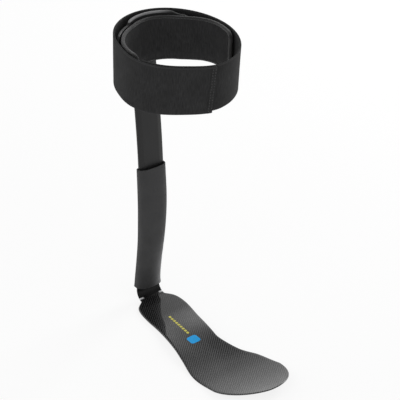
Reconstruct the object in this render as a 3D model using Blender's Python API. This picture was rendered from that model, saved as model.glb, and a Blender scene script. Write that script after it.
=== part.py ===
"""Ankle foot orthosis for a right foot: a carbon sole plate whose heel tongue turns up into a posterior
strut, a padded sleeve round the strut at the Achilles tendon, and a padded calf cuff with a wrap strap.

Frame: +X points to the toes, +Y to the wearer's left (the inner side of this right foot), +Z up.
The origin is on the floor, under the middle of the heel. Sizes are in millimetres; MM makes them metres.
"""

import math

import bmesh
import bpy
from mathutils import Matrix, Vector

MM = 0.001
GAP = 0.3  # between pieces that touch on the real object

# ---- sole plate, in plan and in profile (x is measured from the middle of the heel)
BEND_RADIUS = 9.0  # inside radius of the heel bend
HEEL_FLAT_X = 12.0  # the heel's underside is flat up to here
BALL_X = 127.0  # the ball of the foot, where the plate flexes
TOE_ROUND_X = 155.0  # the toe end is rounded from here
TOE_TIP_X = 200.0
TOE_CENTRE_Y = -6.0
PLATE_HEEL_T = 2.2
PLATE_TOE_T = 1.4
ARCH_LIFT = 7.0
ARCH_RISE_END_X = 72.0
ARCH_FALL_X = 74.0  # from here the arch falls to the ball
ARCH_OUTER_SHARE = 0.45  # the outer side of the arch rises this share of the inner side
TOE_SPRING = 13.0
TOE_OUTER_POWER = 1.6  # the toe's outer quarter is fuller near its side than an ellipse (2)
BEND_HALF_W = 14.2
BEND_FLARE = 0.8  # the bend widens this much towards the plate
FLEX_GAP = 1.0  # across each line where the laminate bends
OUTER_EDGE = [
    (-21, 15), (-13, 24), (-5, 27.5), (7, 29.4), (35, 31.6), (74, 38.2), (95, 42.8), (125, 49.2), (155, 47.4)
]
INNER_EDGE = [
    (-21, 15), (-13, 21), (-3, 23.5), (15, 22.8), (45, 16), (73, 10.8), (87, 10), (110, 18), (128, 29.5),
    (155, 37.2),
]

# ---- strut: front face and half-width against height
STRUT_T = 4.0
TONGUE_T = 1.6
STRUT_BEVEL_W = 5.5
STRUT_BEVEL_D = 1.5
STRUT_TOP_Z = 327.0
ANKLE_Z = 75.0  # the strut's flex line
STRUT_FRONT = [
    (11.2, -30), (22, -29.6), (45, -26.4), (85, -20.7), (120, -18.6), (175, -20.2), (220, -23.8), (285, -31.6),
    (329, -36.5),
]
STRUT_HALF_W = [(11.2, BEND_HALF_W), (20, 13), (60, 13), (105, 14.6), (180, 14.9), (329, 14.9)]
SPAR_FOOT_Z = 15.0
SPAR_FOOT_SHARE = 0.4  # the spar tapers to this share of its thickness at its foot
SPAR_TAPER = 8.0
STRUT_TOP_TAPER = 7.0  # the strut's top corners are cut over this height,
STRUT_TOP_CUT = 4.5  # by this much on each side

# ---- sleeve round the strut, and the pad inside it
SLEEVE_BOTTOM_Z = 14.0
SLEEVE_TOP_Z = 164.0
SLEEVE_T = 1.2
SLEEVE_SIDE = 1.7
SLEEVE_FRONT = 9.8  # from the strut's middle plane
SLEEVE_BACK = 4.0
SLEEVE_SPLIT = 1.7  # half of the gap at the flex line
SLEEVE_FRONT_POWER = 2.4  # roundness of its section: 2 is an ellipse, more is boxier
SLEEVE_BACK_POWER = 6.0
SEAM_TAPE_HALF_W = 5.0
SEAM_TAPE_T = 0.7
TENDON_PAD_HALF_W = 9.5
TENDON_PAD_T = 3.8
TENDON_PAD_LOW = 6.0  # its lower end stands this far inside the sleeve's,
TENDON_PAD_HIGH = 4.0  # and its upper end this far

# ---- calf cuff: an oval ring, its outer strap surface at the top and bottom edge
STRAP_W = 52.0
RING_TOP = {"back": -46.0, "front": 99.5, "half_w": 57.8, "z": 330.8, "front_rise": 2.2}
RING_BOTTOM = {"back": -42.5, "front": 90.5, "half_w": 59.6, "z": 330.8 - STRAP_W, "front_rise": -0.3}
RING_FLAT = {"angle": -150.0, "span": 38.0, "depth": 4.4}  # the closed front lies flatter than the oval
STRAP_T = 2.0
HOOK_T = 0.9
SHELL_T = 2.4
SHELL_ANGLES = (-64.0, 58.0)
SHELL_CROWN = (-33.0, -27.0, 34.0, 50.0)  # its raised middle: up from the first to the second, down again
PAD_SKIN_T = 0.8
PAD_GAP = 0.5  # between the pad's layers, whose curves differ a little
PAD_FOAM_T = 3.0
PAD_ANGLES = (-100.0, 112.0)
PAD_LOW = 0.08  # height of the pad's lower edge, as a share of the strap's height
PAD_EDGE = 0.06  # height of the binding tape along each edge, as the same share
PAD_EDGE_GAP = 0.01
FOAM_INSET = 0.02
SHELL_TOP = 1.06  # height of the crown, as a share of the strap's height
SHELL_WING_TOP = 0.99
SHELL_BOTTOM = 0.05
PAD_HOOKS = {"pad_hook_outer": -20.0, "pad_hook_inner": 30.0}  # the middle angle of each hook strip
PAD_HOOK_REACH = 10.0  # degrees each way
PAD_HOOK_HEIGHTS = (0.12, 0.86)
FLAP_HOOK_HEIGHTS = (0.06, 0.94)
HEM_GAP = 0.3  # degrees
STRAP_HINGE_ANGLE = 70.0
HINGE_SPLIT = 0.3  # degrees on each side of a strap's hinge line, about 0.6 mm in all
FLAP_HOOK_ANGLE = 138.0  # the hook patch covers the flap from its hem back to here
HEM_ANGLE = 4.0
FLAP_END_ANGLE = 176.0
UNDER_END_ANGLE = -105.0  # the under arm passes the front and ends on the outer side
STRAP_PATCH_Z = (313.0, 298.0)
STRAP_PATCH_HALF_W = 11.0
STRAP_PATCH_T = 1.4
RIVET_HEIGHTS = (289.0, 319.0)
RIVET_SHANK_R = 1.9
RIVET_HEAD_R = 4.0
RIVET_HEAD_T = 0.8
RIVET_HOLE_R = 2.2
RIVET_TAIL = 1.1  # length of the closed end behind the strut
WASHER_T = 0.8
CUTTER_REACH = 20.0

# ---- depth of each cuff layer, inwards from the outer strap surface
FLAP_RISE = STRAP_T + GAP + HOOK_T + GAP  # the flap stands this far out, over the under arm
PAD_DEPTH = [
    (-100, 2.6), (-84, 3.2), (-70, 4.8), (-64, 6.4), (-52, 9.6), (-40, 13), (-28, 15.5), (44, 15.5), (59, 12.2),
    (72, 7.1), (86, 4.2), (112, 4.2),
]  # of its outer face, against the angle: behind the shell at the back, close to the strap at the sides
SHELL_TO_PAD = SHELL_T + GAP + HOOK_T + GAP  # the hook strips lie between the shell and the pad


def clear_scene():
    for obj in list(bpy.data.objects):
        bpy.data.objects.remove(obj)


def material(name, colour, roughness, metallic=0.0):
    made = bpy.data.materials.new(name)
    made.use_nodes = True
    shader = made.node_tree.nodes["Principled BSDF"]
    shader.inputs["Base Color"].default_value = (*colour, 1.0)
    shader.inputs["Roughness"].default_value = roughness
    shader.inputs["Metallic"].default_value = metallic
    return made


def smooth_step(low, high, value):
    t = min(1.0, max(0.0, (value - low) / (high - low)))
    return t * t * (3 - 2 * t)


def through(knots, x):
    """Value at x of the smooth curve through (x, value) knots, level beyond its ends."""
    if x <= knots[0][0]:
        return knots[0][1]
    if x >= knots[-1][0]:
        return knots[-1][1]
    slopes = []
    for i in range(len(knots)):
        low, high = knots[max(i - 1, 0)], knots[min(i + 1, len(knots) - 1)]
        slopes.append((high[1] - low[1]) / (high[0] - low[0]))
    for i in range(len(knots) - 1):
        (x0, y0), (x1, y1) = knots[i], knots[i + 1]
        if x <= x1:
            span = x1 - x0
            t = (x - x0) / span
            return (
                y0 * (1 + 2 * t) * (1 - t) ** 2
                + slopes[i] * span * t * (1 - t) ** 2
                + y1 * t * t * (3 - 2 * t)
                + slopes[i + 1] * span * t * t * (t - 1)
            )


def add_object(name, points, faces, finish):
    shape = bmesh.new()
    corners = [shape.verts.new(Vector(p) * MM) for p in points]
    for face in faces:
        shape.faces.new([corners[i] for i in face])
    bmesh.ops.recalc_face_normals(shape, faces=shape.faces)
    mesh = bpy.data.meshes.new(name)
    shape.to_mesh(mesh)
    shape.free()
    mesh.materials.append(finish)
    mesh.shade_smooth()
    mesh.set_sharp_from_angle(angle=math.radians(35))
    obj = bpy.data.objects.new(name, mesh)
    bpy.context.scene.collection.objects.link(obj)
    return obj


def loft(name, loops, finish):
    """A closed solid through loops of equal length, capped at both ends."""
    count = len(loops[0])
    points = [p for loop in loops for p in loop]
    faces = [tuple(range(count)), tuple(range(len(points) - count, len(points)))]
    for k in range(len(loops) - 1):
        a, b = k * count, (k + 1) * count
        for i in range(count):
            j = (i + 1) % count
            faces.append((a + i, b + i, b + j, a + j))
    return add_object(name, points, faces, finish)


def tube(name, outer, inner, finish):
    """A closed solid between two lofted walls, open from end to end."""
    count, rings = len(outer[0]), len(outer)
    points = [p for loop in outer + inner for p in loop]
    faces = []
    for wall in (0, 1):
        start = wall * rings * count
        for k in range(rings - 1):
            a, b = start + k * count, start + (k + 1) * count
            for i in range(count):
                j = (i + 1) % count
                faces.append((a + i, b + i, b + j, a + j))
    for k in (0, rings - 1):
        a, b = k * count, (rings + k) * count
        for i in range(count):
            j = (i + 1) % count
            faces.append((a + i, a + j, b + j, b + i))
    return add_object(name, points, faces, finish)


# ---------------------------------------------------------------- sole plate


def plate_lift(x, y):
    """Height of the plate's underside over the floor: the arch, then the toe spring."""
    inner_share = smooth_step(-25, 25, y)
    side = ARCH_OUTER_SHARE + (1 - ARCH_OUTER_SHARE) * inner_share
    rise = smooth_step(HEEL_FLAT_X, ARCH_RISE_END_X, x)
    arch = ARCH_LIFT * side * rise * (1 - smooth_step(ARCH_FALL_X, BALL_X - 2, x))
    past_ball = max(0.0, x - BALL_X - 3) / (TOE_TIP_X - BALL_X - 3)
    return arch + TOE_SPRING * past_ball**2


def plate_thickness(x):
    return PLATE_HEEL_T + (PLATE_TOE_T - PLATE_HEEL_T) * smooth_step(40, TOE_ROUND_X, x)


def plate_edges(x):
    """(outer, inner) edge of the plate at x, as y values."""
    if x <= TOE_ROUND_X:
        return -through(OUTER_EDGE, x), through(INNER_EDGE, x)
    t = min(0.998, (x - TOE_ROUND_X) / (TOE_TIP_X - TOE_ROUND_X))
    outer = (OUTER_EDGE[-1][1] + TOE_CENTRE_Y) * (1 - t**TOE_OUTER_POWER) ** (1 / TOE_OUTER_POWER)
    inner = (INNER_EDGE[-1][1] - TOE_CENTRE_Y) * (1 - t**2) ** 0.5
    return TOE_CENTRE_Y - outer, TOE_CENTRE_Y + inner


def plate_loop(x, across=8):
    """Section of the plate at x: top edge from outer to inner side, then back underneath."""
    outer, inner = plate_edges(x)
    ys = [outer + (inner - outer) * i / across for i in range(across + 1)]
    top = [(x, y, plate_lift(x, y) + plate_thickness(x)) for y in ys]
    under = [(x, y, plate_lift(x, y)) for y in reversed(ys)]
    return top + under


def strut_front(z):
    return through(STRUT_FRONT, z)


def strut_lean(z):
    """Unit vector along the strut's front normal, in the X-Z plane."""
    slope = (strut_front(z + 1) - strut_front(z - 1)) / 2
    return Vector((1, 0, -slope)).normalized()


def tongue_loop(z, across=8):
    """Section of the heel tongue at height z, across the strut's front skin."""
    half = through(STRUT_HALF_W, z)
    normal = strut_lean(z)
    front = Vector((strut_front(z), 0, z))
    ys = [-half + 2 * half * i / across for i in range(across + 1)]
    return [tuple(front + Vector((0, y, 0))) for y in ys] + [
        tuple(front - normal * TONGUE_T + Vector((0, y, 0))) for y in reversed(ys)
    ]


def bend_loop(turn, across=8):
    """Section of the heel bend: turn 0 is the foot of the upright tongue, 1 is the flat plate."""
    angle = turn * math.pi / 2
    centre_x = strut_front(0) + BEND_RADIUS
    centre_z = PLATE_HEEL_T + BEND_RADIUS
    half = BEND_HALF_W + BEND_FLARE * turn**2
    ys = [-half + 2 * half * i / across for i in range(across + 1)]
    thick = TONGUE_T + (PLATE_HEEL_T - TONGUE_T) * turn

    def at(radius, y):
        return (centre_x - radius * math.cos(angle), y, centre_z - radius * math.sin(angle))

    return [at(BEND_RADIUS, y) for y in ys] + [at(BEND_RADIUS + thick, y) for y in reversed(ys)]


def make_sole(finish):
    heights = [ANKLE_Z - FLEX_GAP / 2, 68, 60, 52, 44, 36, 28, 20, 13]
    loops = [tongue_loop(z) for z in heights]
    loops += [bend_loop(k / 7) for k in range(8)]
    heel = [-19.5, -18, -16, -14, -12, -9, -5, 0, 6, 12]
    arch = [20 + 7 * k for k in range(15)]
    loops += [plate_loop(x) for x in heel + arch + [BALL_X - FLEX_GAP / 2]]
    loft("foot_plate", loops, finish)
    straight = [BALL_X + FLEX_GAP / 2, 134, 141, 148, TOE_ROUND_X]
    rounded = [
        TOE_ROUND_X + (TOE_TIP_X - TOE_ROUND_X) * math.sin(math.pi / 2 * k / 9) for k in range(1, 10)
    ]
    loft("toe_plate", [plate_loop(x) for x in straight + rounded], finish)


# ---------------------------------------------------------------- strut


def spar_loop(z):
    """Section of the lower spar, which is bonded to the back of the tongue."""
    half = through(STRUT_HALF_W, z)
    normal = strut_lean(z)
    front = Vector((strut_front(z), 0, z)) - normal * (TONGUE_T + GAP)
    grown = smooth_step(SPAR_FOOT_Z, SPAR_FOOT_Z + SPAR_TAPER, z)
    thick = (STRUT_T - TONGUE_T - GAP) * (SPAR_FOOT_SHARE + (1 - SPAR_FOOT_SHARE) * grown)
    side = Vector((0, half, 0))
    back = front - normal * thick
    return [tuple(p) for p in (front - side, front + side, back + side, back - side)]


def strut_loop(z):
    """Section of the upper strut: a flat crown with a bevel down each side."""
    corner = smooth_step(STRUT_TOP_Z - STRUT_TOP_TAPER, STRUT_TOP_Z, z)
    half = through(STRUT_HALF_W, z) - STRUT_TOP_CUT * corner
    crown = half - STRUT_BEVEL_W
    normal = strut_lean(z)
    front = Vector((strut_front(z), 0, z))
    shape = [
        (-half, STRUT_BEVEL_D),
        (-crown, 0),
        (crown, 0),
        (half, STRUT_BEVEL_D),
        (half, STRUT_T),
        (-half, STRUT_T),
    ]
    return [tuple(front + Vector((0, y, 0)) - normal * depth) for y, depth in shape]


def make_strut(finish):
    spar_heights = [ANKLE_Z - FLEX_GAP / 2, 66, 57, 48, 39, 30, 23, 19, SPAR_FOOT_Z]
    loft("lower_spar", [spar_loop(z) for z in spar_heights], finish)
    low = ANKLE_Z + FLEX_GAP / 2
    heights = [STRUT_TOP_Z, 327, 325, 322, 318] + [300 - 15 * k for k in range(15)] + [82, low]
    return loft("strut", [strut_loop(z) for z in heights], finish)


# ---------------------------------------------------------------- sleeve


def sleeve_loop(z, inset, count=28):
    """Oval outline of the sleeve at height z: boxy behind the strut, bulging in front of it."""
    normal = strut_lean(z)
    middle = Vector((strut_front(z), 0, z)) - normal * STRUT_T / 2
    half = through(STRUT_HALF_W, z) + SLEEVE_SIDE - inset
    loop = []
    for i in range(count):
        angle = 2 * math.pi * i / count
        c, s = math.cos(angle), math.sin(angle)
        if c > 0:
            power, depth = 2 / SLEEVE_FRONT_POWER, SLEEVE_FRONT - inset
        else:
            power, depth = 2 / SLEEVE_BACK_POWER, SLEEVE_BACK - inset
        along = math.copysign(abs(c) ** power, c) * depth
        across = math.copysign(abs(s) ** power, s) * half
        loop.append(tuple(middle + normal * along + Vector((0, across, 0))))
    return loop


def steps(low, high, count):
    return [low + (high - low) * k / count for k in range(count + 1)]


def make_sleeve(cloth, foam, seam):
    spans = {
        "sleeve_lower": steps(ANKLE_Z - SLEEVE_SPLIT, SLEEVE_BOTTOM_Z, 6),
        "sleeve_upper": steps(SLEEVE_TOP_Z, ANKLE_Z + SLEEVE_SPLIT, 8),
    }
    for name, heights in spans.items():
        outer = [sleeve_loop(z, 0) for z in heights]
        inner = [sleeve_loop(z, SLEEVE_T) for z in heights]
        tube(name, outer, inner, cloth)
        make_seam_tape(name.replace("sleeve", "sleeve_seam"), heights, seam)
    foot, top = SLEEVE_BOTTOM_Z + TENDON_PAD_LOW, SLEEVE_TOP_Z - TENDON_PAD_HIGH
    make_tendon_pad("tendon_pad_lower", steps(ANKLE_Z - SLEEVE_SPLIT, foot, 6), foam)
    make_tendon_pad("tendon_pad_upper", steps(top, ANKLE_Z + SLEEVE_SPLIT, 8), foam)


def make_seam_tape(name, heights, finish):
    """The flat tape that closes the sleeve down its back."""
    loops = []
    for z in heights:
        normal = strut_lean(z)
        back = Vector((strut_front(z), 0, z)) - normal * (STRUT_T / 2 + SLEEVE_BACK + GAP)
        side = Vector((0, SEAM_TAPE_HALF_W, 0))
        outside = back - normal * SEAM_TAPE_T
        loops.append([tuple(p) for p in (back - side, back + side, outside + side, outside - side)])
    loft(name, loops, finish)


def make_tendon_pad(name, heights, finish):
    """Foam strip between the strut's front face and the sleeve, with rounded front edges."""
    loops = []
    for z in heights:
        normal = strut_lean(z)
        face = Vector((strut_front(z), 0, z)) + normal * GAP
        shape = [(-1.0, 0), (-1.0, 0.55), (-0.6, 0.9), (0, 1.0), (0.6, 0.9), (1.0, 0.55), (1.0, 0)]
        loops.append(
            [tuple(face + normal * TENDON_PAD_T * d + Vector((0, TENDON_PAD_HALF_W * w, 0))) for w, d in shape]
        )
    loft(name, loops, finish)


# ---------------------------------------------------------------- calf cuff


def ring_flat(angle):
    """How far every cuff layer lies inside the oval at an angle."""
    away = abs((angle - RING_FLAT["angle"] + 180) % 360 - 180)
    return RING_FLAT["depth"] * (1 - smooth_step(0, RING_FLAT["span"], away))


def ring_point(angle, height, depth):
    """A point of the cuff. angle is in degrees round from the back, positive towards +Y; height is
    0 at the strap's lower edge and 1 at its upper edge; depth is inwards from the outer surface."""
    a = math.radians(angle)
    ring = {key: low + (RING_TOP[key] - low) * height for key, low in RING_BOTTOM.items()}
    half_w, half_d = ring["half_w"], (ring["front"] - ring["back"]) / 2
    x = ring["back"] + half_d * (1 - math.cos(a))
    z = ring["z"] + ring["front_rise"] * (1 - math.cos(a)) / 2
    inward = Vector((math.cos(a) / half_d, -math.sin(a) / half_w, 0)).normalized()
    return Vector((x, half_w * math.sin(a), z)) + inward * (depth + ring_flat(angle))


def as_function(value):
    """value itself where it is a function of the angle, or a function that always gives it."""
    return value if callable(value) else lambda angle: value


def make_band(name, first, last, depth, thick, finish, low=0.0, high=1.0, pitch=9.0):
    """A strip of the cuff from one angle to another. depth and high are numbers, or functions of the
    angle."""
    depth_at, high_at = as_function(depth), as_function(high)
    count = max(2, round(abs(last - first) / pitch))
    loops = []
    for angle in steps(first, last, count):
        d, top = depth_at(angle), high_at(angle)
        corners = ((low, d), (top, d), (top, d + thick), (low, d + thick))
        loops.append([tuple(ring_point(angle, h, c)) for h, c in corners])
    return loft(name, loops, finish)


def pad_depth(angle):
    """Depth of the pad's outer face."""
    return through(PAD_DEPTH, angle)


def shell_depth(angle):
    """The shell follows the pad, outside it and its hook strips."""
    return pad_depth(angle) - SHELL_TO_PAD


def shell_top(angle):
    """Height of the shell's upper edge, as a share of the strap's: a raised middle between two wings."""
    rise, crest, fall, end = SHELL_CROWN
    crown = smooth_step(rise, crest, angle) * (1 - smooth_step(fall, end, angle))
    return SHELL_WING_TOP + (SHELL_TOP - SHELL_WING_TOP) * crown


def make_pad(loop_cloth, foam, lining, binding):
    make_band("pad_loop_backing", *PAD_ANGLES, pad_depth, PAD_SKIN_T, loop_cloth, PAD_LOW)

    def foam_depth(angle):
        return pad_depth(angle) + PAD_SKIN_T + PAD_GAP

    def lining_depth(angle):
        return foam_depth(angle) + PAD_FOAM_T + PAD_GAP

    foam_span = (PAD_LOW + FOAM_INSET, 1 - FOAM_INSET)
    make_band("pad_foam", *PAD_ANGLES, foam_depth, PAD_FOAM_T, foam, *foam_span)
    lining_span = (PAD_LOW + PAD_EDGE, 1 - PAD_EDGE)
    make_band("pad_lining", *PAD_ANGLES, lining_depth, PAD_SKIN_T, lining, *lining_span)
    spans = {
        "pad_binding_top": (1 - PAD_EDGE + PAD_EDGE_GAP, 1),
        "pad_binding_bottom": (PAD_LOW, PAD_LOW + PAD_EDGE - PAD_EDGE_GAP),
    }
    for name, (low, high) in spans.items():
        make_band(name, *PAD_ANGLES, lining_depth, PAD_SKIN_T, binding, low, high)


def make_hooks(finish):
    """Hook strips on the shell's inner face, which hold the pad, and the patch that holds the strap."""

    def hook_depth(angle):
        return shell_depth(angle) + SHELL_T + GAP

    for name, middle in PAD_HOOKS.items():
        span = (middle - PAD_HOOK_REACH, middle + PAD_HOOK_REACH)
        make_band(name, *span, hook_depth, HOOK_T, finish, *PAD_HOOK_HEIGHTS, 5.0)
    loops = []
    for z in STRAP_PATCH_Z:
        normal = strut_lean(z)
        back = Vector((strut_front(z), 0, z)) - normal * (STRUT_T + GAP)
        side = Vector((0, STRAP_PATCH_HALF_W, 0))
        outside = back - normal * STRAP_PATCH_T
        loops.append([tuple(p) for p in (back - side, back + side, outside + side, outside - side)])
    loft("strap_hook_patch", loops, finish)


def make_strap(cloth, hook, hem):
    """One long strap that bends at two upright lines: its back, the outer flap and the under arm."""
    hinge = STRAP_HINGE_ANGLE
    flap_end = -FLAP_END_ANGLE
    under_end = 360 + UNDER_END_ANGLE
    make_band("strap_back", -hinge + HINGE_SPLIT, hinge - HINGE_SPLIT, 0, STRAP_T, cloth)

    def flap_depth(angle):
        return -FLAP_RISE * smooth_step(hinge + 2, 360 - under_end, -angle)

    make_band("strap_flap", flap_end + HEM_ANGLE, -hinge - HINGE_SPLIT, flap_depth, STRAP_T, cloth)
    make_band("flap_end_hem", flap_end, flap_end + HEM_ANGLE - HEM_GAP, flap_depth, STRAP_T, hem, pitch=3)
    patch = STRAP_T + GAP - FLAP_RISE
    span = (flap_end + HEM_ANGLE + 1, -FLAP_HOOK_ANGLE)
    make_band("flap_hook_patch", *span, patch, HOOK_T, hook, *FLAP_HOOK_HEIGHTS)
    make_band("strap_under", hinge + HINGE_SPLIT, under_end - HEM_ANGLE, 0, STRAP_T, cloth)
    make_band("under_end_hem", under_end - HEM_ANGLE + HEM_GAP, under_end, 0, STRAP_T, hem, pitch=3)


def make_rivets(strut, shell, metal):
    """Two rivets hold the shell to the strut: a head inside the shell, a shank through both, and a
    washer behind the strut under the closed end."""
    for number, z in enumerate(RIVET_HEIGHTS, 1):
        normal = strut_lean(z)
        rotation = normal.to_track_quat("Z", "Y")
        height = (z - RING_BOTTOM["z"]) / STRAP_W
        shell_face = ring_point(0, height, shell_depth(0) + SHELL_T)
        strut_face = Vector((strut_front(z), 0, z))
        head = (shell_face - strut_face).dot(normal) + GAP
        tail = STRUT_T + GAP
        bore = [(-CUTTER_REACH, RIVET_HOLE_R), (CUTTER_REACH, RIVET_HOLE_R)]
        cutter = disc_stack(f"rivet_hole_{number}", strut_face, rotation, bore, metal)
        cutter.hide_render = True
        cutter.display_type = "WIRE"
        for piece in (strut, shell):
            cut = piece.modifiers.new(f"rivet_hole_{number}", "BOOLEAN")
            cut.operation = "DIFFERENCE"
            cut.solver = "EXACT"
            cut.object = cutter
        profile = [
            (-tail - RIVET_TAIL, RIVET_SHANK_R),
            (head, RIVET_SHANK_R),
            (head, RIVET_HEAD_R),
            (head + RIVET_HEAD_T * 0.5, RIVET_HEAD_R),
            (head + RIVET_HEAD_T, RIVET_HEAD_R * 0.7),
        ]
        disc_stack(f"shell_rivet_{number}", strut_face, rotation, profile, metal)
        washer(f"rivet_washer_{number}", strut_face, rotation, -tail - WASHER_T, -tail, metal)


def circle(radius, along, count=20):
    return [
        Vector((radius * math.cos(2 * math.pi * i / count), radius * math.sin(2 * math.pi * i / count), along))
        for i in range(count)
    ]


def disc_stack(name, origin, rotation, profile, finish):
    """A turned piece along the rotation's Z, from its lowest to its highest (along, radius) station."""
    loops = []
    for along, radius in reversed(profile):
        loops.append([tuple(origin + rotation @ p) for p in circle(radius, along)])
    return loft(name, loops, finish)


def washer(name, origin, rotation, low, high, finish):
    outer = [[tuple(origin + rotation @ p) for p in circle(RIVET_HEAD_R - 0.3, z)] for z in (high, low)]
    inner = [[tuple(origin + rotation @ p) for p in circle(RIVET_SHANK_R + GAP, z)] for z in (high, low)]
    return tube(name, outer, inner, finish)


# ---------------------------------------------------------------- joints


def add_axis(name, low, high, parent=None):
    """An empty on a joint's axis, whose Z runs from low to high."""
    empty = bpy.data.objects.new(name, None)
    bpy.context.scene.collection.objects.link(empty)
    turned = (high - low).to_track_quat("Z", "Y").to_matrix().to_4x4()
    empty.matrix_world = Matrix.Translation(low * MM) @ turned
    if parent:
        hang(empty, parent)
    return empty


def hang(obj, axis):
    """Parents obj to a joint's empty and leaves it where it is."""
    bpy.context.view_layer.update()
    obj.parent = axis
    obj.matrix_parent_inverse = axis.matrix_world.inverted()


def add_joints():
    ankle = Vector((strut_front(ANKLE_Z) - STRUT_T / 2, 0, ANKLE_Z))
    ball = Vector((BALL_X, 0, PLATE_TOE_T / 2))
    across = Vector((0, 10, 0))
    ankle_axis = add_axis("ankle_flex_axis", ankle, ankle + across)
    toe_axis = add_axis("toe_flex_axis", ball, ball - across)
    hinge = STRAP_HINGE_ANGLE
    flap_axis = add_axis("flap_axis", ring_point(-hinge, 0, 0), ring_point(-hinge, 1, 0), ankle_axis)
    under_axis = add_axis("under_arm_axis", ring_point(hinge, 0, 0), ring_point(hinge, 1, 0), ankle_axis)
    axes = {
        "toe_plate": toe_axis,
        "strap_flap": flap_axis,
        "flap_end_hem": flap_axis,
        "flap_hook_patch": flap_axis,
        "strap_under": under_axis,
        "under_end_hem": under_axis,
    }
    still = ("foot_plate", "lower_spar", "sleeve_lower", "sleeve_seam_lower", "tendon_pad_lower")
    for obj in list(bpy.data.objects):
        if obj.type == "MESH" and obj.name not in still:
            hang(obj, axes.get(obj.name, ankle_axis))


def main():
    clear_scene()
    carbon = material("carbon_laminate", (0.035, 0.036, 0.038), 0.2)
    strut_carbon = material("strut_carbon", (0.02, 0.02, 0.021), 0.45)
    neoprene = material("neoprene", (0.035, 0.035, 0.036), 0.85)
    foam = material("foam", (0.03, 0.03, 0.03), 0.9)
    shell_plastic = material("shell_plastic", (0.03, 0.03, 0.032), 0.25)
    hook_tape = material("hook_tape", (0.02, 0.02, 0.02), 0.7)
    loop_cloth = material("loop_cloth", (0.025, 0.025, 0.025), 0.95)
    lining = material("lining_cloth", (0.018, 0.018, 0.018), 0.95)
    strap_cloth = material("strap_elastic", (0.022, 0.022, 0.022), 0.9)
    binding = material("binding_tape", (0.045, 0.045, 0.045), 0.85)
    metal = material("rivet_metal", (0.25, 0.25, 0.26), 0.35, 1.0)

    make_sole(carbon)
    strut = make_strut(strut_carbon)
    make_sleeve(neoprene, foam, binding)
    shell = make_band(
        "calf_shell", *SHELL_ANGLES, shell_depth, SHELL_T, shell_plastic, SHELL_BOTTOM, shell_top, 4.0
    )
    make_rivets(strut, shell, metal)
    make_hooks(hook_tape)
    make_pad(loop_cloth, foam, lining, binding)
    make_strap(strap_cloth, hook_tape, binding)
    add_joints()


main()
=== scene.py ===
"""The looks of the ankle foot orthosis: finished surfaces and materials laid over the fixed CAD frame.

Every piece is built here in the CAD's own frame: +X points to the toes, +Y to the wearer's left, +Z up,
and the origin is on the floor under the middle of the heel. Sizes are in millimetres, and MM makes them
metres when a mesh is made. The shapes that the CAD holds as plain solids are repeated from the same driving
dimensions, with fine sections, round edges, seams and stitches.

Each mesh carries a point attribute named lay: where the point lies on its own cloth or laminate, as
(along, across, depth) in millimetres. The weaves and ribs are drawn in it, so they bend with the piece.
"""

import math

import bmesh
import bpy
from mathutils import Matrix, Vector, noise


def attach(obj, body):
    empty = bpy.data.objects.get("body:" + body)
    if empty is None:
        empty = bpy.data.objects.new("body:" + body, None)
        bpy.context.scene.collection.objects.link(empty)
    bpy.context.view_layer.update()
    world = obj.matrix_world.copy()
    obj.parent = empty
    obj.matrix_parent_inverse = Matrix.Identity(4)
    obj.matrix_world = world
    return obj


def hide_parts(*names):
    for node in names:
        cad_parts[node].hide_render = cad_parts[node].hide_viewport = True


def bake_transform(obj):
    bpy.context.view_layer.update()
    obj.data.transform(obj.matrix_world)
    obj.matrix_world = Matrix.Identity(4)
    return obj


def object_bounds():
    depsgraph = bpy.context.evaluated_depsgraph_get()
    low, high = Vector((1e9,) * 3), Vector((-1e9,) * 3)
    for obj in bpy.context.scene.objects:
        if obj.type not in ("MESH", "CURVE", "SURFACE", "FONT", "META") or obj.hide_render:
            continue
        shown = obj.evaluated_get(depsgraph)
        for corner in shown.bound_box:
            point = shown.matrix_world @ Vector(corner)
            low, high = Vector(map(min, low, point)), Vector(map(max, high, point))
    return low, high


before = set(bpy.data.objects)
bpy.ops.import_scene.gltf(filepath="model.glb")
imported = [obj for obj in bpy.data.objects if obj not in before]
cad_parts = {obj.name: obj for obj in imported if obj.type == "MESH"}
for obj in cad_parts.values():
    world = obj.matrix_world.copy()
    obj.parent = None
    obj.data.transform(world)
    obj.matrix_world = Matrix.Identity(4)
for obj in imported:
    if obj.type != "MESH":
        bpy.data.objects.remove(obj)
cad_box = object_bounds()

MM = 0.001
WELD = 0.004  # points closer than this are one point
GAP = 0.3  # between pieces that touch on the real object

# ---- sole plate
BEND_RADIUS = 9.0
HEEL_FLAT_X = 12.0
BALL_X = 127.0
TOE_ROUND_X = 155.0
TOE_TIP_X = 200.0
TOE_CENTRE_Y = -6.0
PLATE_HEEL_T = 2.2
PLATE_TOE_T = 1.4
TOE_OUTER_POWER = 1.6
ARCH_LIFT = 7.0
ARCH_RISE_END_X = 72.0
ARCH_FALL_X = 74.0
ARCH_OUTER_SHARE = 0.45
TOE_SPRING = 13.0
BEND_HALF_W = 14.2
BEND_FLARE = 0.8
OUTER_EDGE = [
    (-21, 15), (-13, 24), (-5, 27.5), (7, 29.4), (35, 31.6), (74, 38.2), (95, 42.8), (125, 49.2), (155, 47.4)
]
INNER_EDGE = [
    (-21, 15), (-13, 21), (-3, 23.5), (15, 22.8), (45, 16), (73, 10.8), (87, 10), (110, 18), (128, 29.5),
    (155, 37.2),
]

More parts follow.
